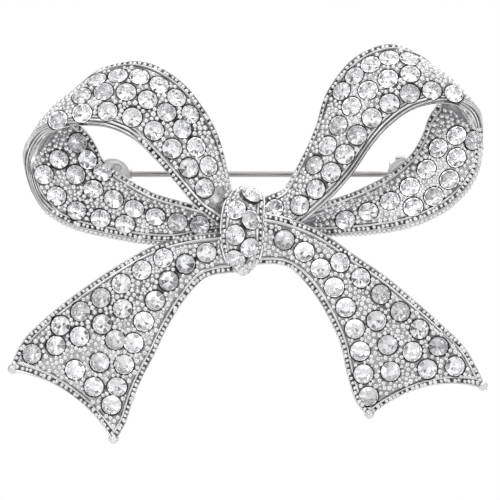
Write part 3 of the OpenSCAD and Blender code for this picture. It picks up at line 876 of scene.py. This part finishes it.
def bead_lines(ribbon, has_end):
    """Lines of beads on a face: u, v, and whether the beads lie across the ribbon."""
    lines = []
    for edge in (0, 1):
        u = ribbon.steps(float(edge), BEAD_PITCH, 0, ribbon.last - NUDGE)
        u = u[reeds(ribbon, u) < 0.5] if edge == 0 else u
        inset = BEAD_IN + (1 - edge) * FOLD_PULL * folded(ribbon, u)
        lines.append((u, np.abs(edge - inset / ribbon.width(u)), True))
    if has_end:
        before, last = ribbon.middle(np.array([ribbon.last - END_PROBE, ribbon.last]), np.array([0.5, 0.5]))
        back = BEAD_IN * END_PROBE / np.linalg.norm(last - before)
        v = np.linspace(0, 1, END_SAMPLES)
        way = running_length(ribbon.middle(np.full(END_SAMPLES, float(ribbon.last)), v))
        v = np.interp(np.arange(BEAD_IN + BEAD_PITCH, way[-1] - BEAD_IN, BEAD_PITCH), way, v)
        lines.append((np.full_like(v, ribbon.last - back), v, False))
    return lines


def wall_beads(ribbon, covered):
    """Beads on a loop's side wall, past its reeds."""
    u = ribbon.steps(0.0, BEAD_PITCH, 0, ribbon.last - NUDGE)
    u = u[(u > ribbon.reeded[1]) & (ribbon.reeded[1] > 0)]
    fold = folded(ribbon, u)
    drawn = FOLD_PULL * fold / ribbon.width(u)
    facing = unit(ribbon.middle(u, 0 * u) - ribbon.middle(u, 0 * u + PROBE))
    frames = []
    for level in (-WALL_BEADS, WALL_BEADS):
        height = level * (1 - FOLD_THIN * fold)
        p = ribbon.middle(u, drawn) + ribbon.normal(u, drawn) * height[:, None]
        for k in range(len(u)):
            if covered(p[k]) <= BEAD_HIDDEN:
                frames.append((p[k], axes_for(facing[k]), BEAD_R * random.uniform(*WALL_SIZES)))
    return frames


def milgrain(name):
    """Beads along the edges of a casting's decorated faces, round a tail's end and on a loop's wall."""
    ribbon, covered = RIBBONS[name], solid_finder(COVERS[name])
    has_end = "tail" in name
    base, sink = (0.0, RIM) if name == "knot" else (THICK / 2, 0.0)
    frames = []
    for side in faces_shown(ribbon):
        for u, v, across in bead_lines(ribbon, has_end):
            shown = decorated(ribbon, u, side) * np.ones_like(u)
            p = ribbon.face(u, v, side, BEAD_LIFT - sink, base)
            n = ribbon.normal(u, v) * side
            if across:
                way = ribbon.middle(u, v + NUDGE) - p
            else:
                way = ribbon.middle(u - NUDGE, v) - ribbon.middle(u, v)
            for k in range(len(u)):
                if shown[k] < 0.5 or covered(p[k]) > BEAD_HIDDEN:
                    continue
                x = unit(way[k] - n[k] * (way[k] @ n[k]))
                x = unit(x + np.cross(n[k], x) * random.gauss(0, BEAD_SKEW))
                y = np.cross(n[k], x)
                axes = np.stack([x * BEAD_LONG, y, n[k] * BEAD_FLAT], 1)
                stray = x * random.gauss(0, BEAD_STRAY) + y * random.gauss(0, BEAD_STRAY)
                frames.append((p[k] + stray, axes, BEAD_R * random.uniform(*BEAD_SIZES)))
    if has_end:
        last = np.array(ribbon.last - CORNER_BACK)
        for edge in (0, 1):
            at = np.abs(edge - CORNER_IN / ribbon.width(ribbon.last))
            n = ribbon.normal(last, at)
            axes = axes_for(n) * np.array([1, 1, CORNER_LONG])
            frames.append((ribbon.middle(last, at) + n * BEAD_R, axes, CORNER_R))
    return frames + wall_beads(ribbon, covered)


def around(cell):
    """A cell of a grid and its 26 neighbours."""
    near = (-1, 0, 1)
    return [(cell[0] + dx, cell[1] + dy, cell[2] + dz) for dx in near for dy in near for dz in near]


def grains(name):
    """Raised grains packed into the gaps between a casting's stones."""
    ribbon, covered = RIBBONS[name], solid_finder(COVERS[name])
    base = -RIM if name == "knot" else THICK / 2
    tree = KDTree(len(STONES[name]))
    for i, (origin, _) in enumerate(STONES[name]):
        tree.insert(Vector(origin), i)
    tree.balance()
    frames = []
    for side in faces_shown(ribbon):
        u = ribbon.steps(0.5, GRAIN_GRID, 0, ribbon.last)
        v = np.arange(*GRAIN_ACROSS, GRAIN_GRID / float(np.median(ribbon.width(u))))
        uu, vv = (grid.ravel() for grid in np.meshgrid(u, v, indexing="ij"))
        points = ribbon.face(uu, vv, side, 0.0, base)
        normals = ribbon.normal(uu, vv) * side
        edge = np.minimum(vv / rim_scale(ribbon, uu), 1 - vv) * ribbon.width(uu)
        end_line = ribbon.middle(np.full_like(uu, ribbon.last), vv)
        end = np.linalg.norm(end_line - ribbon.middle(uu, vv), axis=1)
        near = np.minimum(edge, end) if "tail" in name else edge
        order = list(range(len(uu)))
        random.shuffle(order)
        taken = {}
        for sizes in GRAIN_SIZES:
            for k in order:
                if near[k] < GRAIN_EDGE or decorated(ribbon, uu[k], side) < GRAIN_SHOWN:
                    continue
                p = points[k]
                bare = BARE_X[0] < p[0] < BARE_X[1] and BARE_Z[0] < p[2] < BARE_Z[1]
                if bare and name == BARE_NAME:
                    continue
                origin, i, _ = tree.find(Vector(p))
                up = STONES[name][i][1]
                gap = p - np.array(origin)
                flat = np.linalg.norm(gap - up * (gap @ up))
                if not GRAIN_REACH[0] < flat < GRAIN_REACH[1]:
                    continue
                if abs(gap @ up) > GRAIN_RISE or up @ normals[k] < GRAIN_LEAN:
                    continue
                size = min(random.uniform(*sizes), flat - GRAIN_CLEAR)
                cell = tuple(np.floor(p / GRAIN_GAP).astype(int))
                close = [other for near_cell in around(cell) for other in taken.get(near_cell, [])]
                if any(np.linalg.norm(p - q) < GRAIN_TIGHT * (size + r) for q, r in close):
                    continue
                if covered(p) > GRAIN_HIDDEN:
                    continue
                taken.setdefault(cell, []).append((p, size))
                axes = axes_for(normals[k], random.uniform(*ANY_TURN)) * np.array([1, 1, GRAIN_FLAT])
                sink = 0.0
                if side > 0:
                    sink = GRAIN_SINK * (1 - np.clip(-normals[k][1] / GRAIN_FACING, 0, 1))
                frames.append((p - normals[k] * sink, axes, size))
    return frames


for name in CASTING_NAMES:
    for kind, frames in (("milgrain", milgrain(name)), ("grains", grains(name))):
        verts, faces = copies(*lathe(DOME, DOME_SIDES), frames)
        mesh = make_mesh(f"{name}_{kind}", verts, faces, smooth_deg=BEAD_ANGLE)
        add_piece(f"{name}_{kind}", mesh, BEADING, BODY)

# ---------------------------------------------------------------- stones
TABLE_SIDES = 8
GIRDLE_SIDES = 2 * TABLE_SIDES
TABLE_SHARE = 0.5
CUT_CROWN = 0.23
GIRDLE = 0.02
STONE_TILT = 0.025
WORN_SHARE = 0.15


def polygon_at(height, r, count):
    step = 2 * math.pi / count
    return [(r * math.cos(step * i), r * math.sin(step * i), height) for i in range(count)]


def brilliant():
    """Faceted stone: points, faces, and the number of faces that are clear glass."""
    verts = polygon_at(CUT_CROWN, TABLE_SHARE * STONE_R, TABLE_SIDES)
    verts += polygon_at(GIRDLE, STONE_R, GIRDLE_SIDES) + polygon_at(-GIRDLE, STONE_R, GIRDLE_SIDES)
    verts.append((0, 0, -PAVILION_H))
    top = TABLE_SIDES
    bottom = top + GIRDLE_SIDES
    tip = bottom + GIRDLE_SIDES
    corners = [(2 * i, 2 * i + 1, (2 * i + 2) % GIRDLE_SIDES) for i in range(TABLE_SIDES)]
    faces = [list(range(TABLE_SIDES))]
    for i, (a, b, c) in enumerate(corners):
        faces.append([i, top + a, top + c, (i + 1) % TABLE_SIDES])
        faces.append([top + a, top + b, top + c])
    clear = len(faces)
    for a in range(GIRDLE_SIDES):
        b = (a + 1) % GIRDLE_SIDES
        faces.append([top + a, bottom + a, bottom + b, top + b])
    for a, b, c in corners:
        faces.append([tip, bottom + c, bottom + a])
        faces.append([bottom + c, bottom + b, bottom + a])
    return np.array(verts), faces, clear


STONE_MATERIALS = (GLASS, FOIL, WORN_FOIL)
FRONT, BACK, WORN_BACK = range(3)
stone_verts, stone_faces, clear_faces = brilliant()
for row in sorted(ROWS):
    frames = []
    for origin, up in ROWS[row]:
        tilt = np.array([random.gauss(0, STONE_TILT) for _ in range(3)])
        frames.append((origin, axes_for(unit(up + tilt), random.uniform(*ANY_TURN)), 1.0))
    verts, faces = copies(stone_verts, stone_faces, frames)
    mesh = make_mesh(row + "_cut", verts, faces)
    for m in STONE_MATERIALS:
        mesh.materials.append(m)
    backs = [WORN_BACK if random.random() < WORN_SHARE else BACK for _ in frames]
    for i, polygon in enumerate(mesh.polygons):
        stone, face = divmod(i, len(stone_faces))
        polygon.material_index = FRONT if face < clear_faces else backs[stone]
    add_piece(row + "_cut", mesh, None, BODY, [row])

discard([knot_cutter, *tail_cutters.values()])

# ---------------------------------------------------------------- fittings on the back
# Corners nearer than this are joined, edges flatter than this are dropped and sharper than this rounded
WELD = 0.0001
FLAT_ANGLE = 1
ROUND_ANGLE = 32
ROUND_SEGMENTS = 3


def add_rounded(node, width, metal, body, slot):
    """A CAD fitting with its corners rounded off, shown in place of the plain node."""
    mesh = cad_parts[node].data.copy()
    mesh.name = node + "_finished"
    bm = bmesh.new()
    bm.from_mesh(mesh)
    bmesh.ops.remove_doubles(bm, verts=bm.verts, dist=WELD * MM)
    bmesh.ops.dissolve_limit(bm, angle_limit=math.radians(FLAT_ANGLE), verts=bm.verts, edges=bm.edges)
    bm.to_mesh(mesh)
    bm.free()
    mesh.materials.clear()
    stored_normals = mesh.attributes.get("custom_normal")
    if stored_normals:
        mesh.attributes.remove(stored_normals)
    o = bpy.data.objects.new("rounding", mesh)
    bpy.context.scene.collection.objects.link(o)
    bevel = o.modifiers.new("round", "BEVEL")
    bevel.width, bevel.segments, bevel.limit_method = width * MM, ROUND_SEGMENTS, "ANGLE"
    bevel.angle_limit = math.radians(ROUND_ANGLE)
    bevel.use_clamp_overlap = True
    done = applied(o)
    smooth(done, FITTING_ANGLE)
    add_piece(node + "_finished", done, metal, body, [node])


# A boss under each loop and the soldered pad behind it: radius, and distance before the castings' backs
BOSS_PROFILE = [
    (0, -0.02), (1.5, -0.02), (1.6, 0.05), (1.6, 0.7), (1.54, 0.86), (1.36, 0.98), (0.9, 1.04), (0.42, 1.02),
    (0.36, 0.95), (0.3, 0.65), (0, 0.6),
]
PAD_PROFILE = [
    (0, -0.5), (1.3, -0.5), (1.38, -0.44), (1.5, -0.44), (1.58, -0.5), (1.84, -0.5), (1.93, -0.44),
    (1.95, -0.36), (1.95, -0.12), (1.9, -0.04), (1.8, 0), (0, 0),
]
# A dimple in the hinge's boss, from the boss's middle
DIMPLE_PROFILE = [(0, 0.35), (0.3, 0.4), (0.52, 0.9), (0.62, 1.2), (0, 1.2)]
DIMPLE_AT = (0.55, 0, 0.85)
SPUN_SIDES = 64
# Seats nearer than this are cut into the hinge's boss too
SEAT_NEAR = 4.5

for name, pad in (("left_loop", "hinge_pad"), ("right_loop", "catch_pad")):
    low, high = (np.array(corner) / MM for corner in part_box(pad))
    middle = np.array([(low[0] + high[0]) / 2, BACK_Y, (low[2] + high[2]) / 2])
    place = (middle, axes_for((0, -1, 0)), 1.0)
    cutters = []
    if pad == "hinge_pad":
        cutters = seat_cutters([s for s in STONES[name] if np.linalg.norm(s[0] - middle) < SEAT_NEAR])
        dimple = (middle + np.array(DIMPLE_AT), *place[1:])
        cutters.append(temporary(*copies(*lathe(DIMPLE_PROFILE, SEAT_SIDES), [dimple])))
    mesh = cut(*copies(*lathe(BOSS_PROFILE, SPUN_SIDES), [place]), cutters)
    discard(cutters)
    smooth(mesh, SPUN_ANGLE)
    add_piece(name + "_boss", mesh, SATIN, BODY)
    mesh = make_mesh(pad + "_spun", *copies(*lathe(PAD_PROFILE, SPUN_SIDES), [place]), SPUN_ANGLE)
    add_piece(pad + "_spun", mesh, SATIN, BODY, [pad])

# Node, width of its rounded corners, material, body and slot
FITTINGS = [
    ("hinge_bracket", 0.07, TURNED, BODY, FINDINGS_SLOT),
    ("hinge_rivet", 0.08, TURNED, BODY, FINDINGS_SLOT),
    ("catch_housing", 0.03, TURNED, BODY, FINDINGS_SLOT),
    ("catch_roller", 0.02, TURNED, "roller", FINDINGS_SLOT),
    ("pin_stem", 0.05, STEEL, "pin", "pin_wire"),
]
for fitting in FITTINGS:
    add_rounded(*fitting)

# ---------------------------------------------------------------- camera, light and floor
scene = bpy.context.scene
scene.view_settings.view_transform = "Standard"
# Light crosses a foiled stone many times before it leaves
MOST_BOUNCES = 24
scene.cycles.max_bounces = MOST_BOUNCES
scene.cycles.glossy_bounces = MOST_BOUNCES // 2
scene.cycles.transmission_bounces = MOST_BOUNCES // 2

VIEW_CENTRE = Vector((-0.56, -5.0, -8.65)) * MM
VIEW_WIDTH = 56 * MM
LENS, SENSOR = 200.0, 36.0
LIT_POINT = Vector((0, 0, -8))
camera = bpy.data.objects.new("camera", bpy.data.cameras.new("camera"))
camera.data.lens, camera.data.sensor_width = LENS, SENSOR
camera.location = VIEW_CENTRE + Vector((0, -VIEW_WIDTH * LENS / SENSOR, 0))
camera.rotation_euler = (math.pi / 2, 0, 0)
camera.data.clip_start = 0.01
scene.collection.objects.link(camera)
scene.camera = camera


def softbox(name, place, size, radiance):
    """Rectangular area light that the camera doesn't see, with its place and size in millimetres."""
    data = bpy.data.lights.new(name, "AREA")
    data.shape, data.size, data.size_y = "RECTANGLE", size[0] * MM, size[1] * MM
    data.energy = radiance * math.pi * data.size * data.size_y
    lamp = bpy.data.objects.new(name, data)
    lamp.location = Vector(place) * MM
    lamp.rotation_euler = (LIT_POINT * MM - lamp.location).to_track_quat("-Z", "Y").to_euler()
    lamp.visible_camera = False
    scene.collection.objects.link(lamp)


softbox("key", (-180, -260, 230), (200, 160), 2.0)
softbox("fill", (260, -240, 60), (120, 220), 1.2)
softbox("top", (20, -40, 320), (260, 120), 1.25)
softbox("low", (-60, -260, -80), (220, 40), 1.2)
softbox("back", (60, 260, 180), (220, 160), 2.0)

# The room that metal and stones reflect: white walls, with dark gaps by height and one round the camera
ROOM_BANDS = [
    (0.0, 0.75), (0.3, 0.95), (0.34, 1.12), (0.45, 1.15), (0.5, 1.15), (0.53, 0.1), (0.565, 0.1), (0.6, 1.08),
    (0.73, 1.08), (0.76, 0.1), (0.8, 0.1), (0.83, 1.06), (1.0, 0.95),
]
# The same from the camera's end of the room to its far end
ROOM_DEPTHS = [(0.0, 0.3), (0.0075, 0.3), (0.02, 1.0), (0.8, 1.0), (0.95, 0.6), (1.0, 0.6)]
world = bpy.data.worlds.new("studio")
scene.world = world
world.use_nodes = True
tree = world.node_tree
tree.nodes.clear()
out = tree.nodes.new("ShaderNodeOutputWorld")
choose = tree.nodes.new("ShaderNodeMixShader")
path = tree.nodes.new("ShaderNodeLightPath")
where = tree.nodes.new("ShaderNodeTexCoord")
split = tree.nodes.new("ShaderNodeSeparateXYZ")
height = tree.nodes.new("ShaderNodeMapRange")
height.inputs["From Min"].default_value = -1
bands = color_ramp(tree, height.outputs["Result"], [(place, (level,) * 3) for place, level in ROOM_BANDS])
depth = tree.nodes.new("ShaderNodeMapRange")
depth.inputs["From Min"].default_value = -1
reach = color_ramp(tree, depth.outputs["Result"], [(place, (level,) * 3) for place, level in ROOM_DEPTHS])
room = tree.nodes.new("ShaderNodeBackground")
white = tree.nodes.new("ShaderNodeBackground")
white.inputs["Color"].default_value = (1, 1, 1, 1)
tree.links.new(where.outputs["Generated"], split.inputs["Vector"])
tree.links.new(split.outputs["Z"], height.inputs["Value"])
tree.links.new(bands, room.inputs["Color"])
tree.links.new(split.outputs["Y"], depth.inputs["Value"])
tree.links.new(reach, room.inputs["Strength"])
tree.links.new(path.outputs["Is Camera Ray"], choose.inputs["Fac"])
tree.links.new(room.outputs["Background"], choose.inputs[1])
tree.links.new(white.outputs["Background"], choose.inputs[2])
tree.links.new(choose.outputs["Shader"], out.inputs["Surface"])

FLOOR_Z = -140.0
FLOOR_HALF = 900.0
FLOOR_COUNT = 24
FLOOR_CLOUDS = 300
grid = np.linspace(-FLOOR_HALF, FLOOR_HALF, FLOOR_COUNT)
floor_verts = [(x, y, FLOOR_Z) for y in grid for x in grid]
corners = [j * FLOOR_COUNT + i for j in range(FLOOR_COUNT - 1) for i in range(FLOOR_COUNT - 1)]
floor_faces = [[k, k + 1, k + FLOOR_COUNT + 1, k + FLOOR_COUNT] for k in corners]
PAPER, tree, bsdf = material("paper_floor", roughness=0.8)
paper_color = shades(tree, noise(tree, FLOOR_CLOUDS), (0.83, 0.83, 0.83), (0.88, 0.88, 0.88))
tree.links.new(paper_color, bsdf.inputs["Base Color"])
floor = bpy.data.objects.new("floor", make_mesh("floor", floor_verts, floor_faces))
floor.data.materials.append(PAPER)
scene.collection.objects.link(floor)
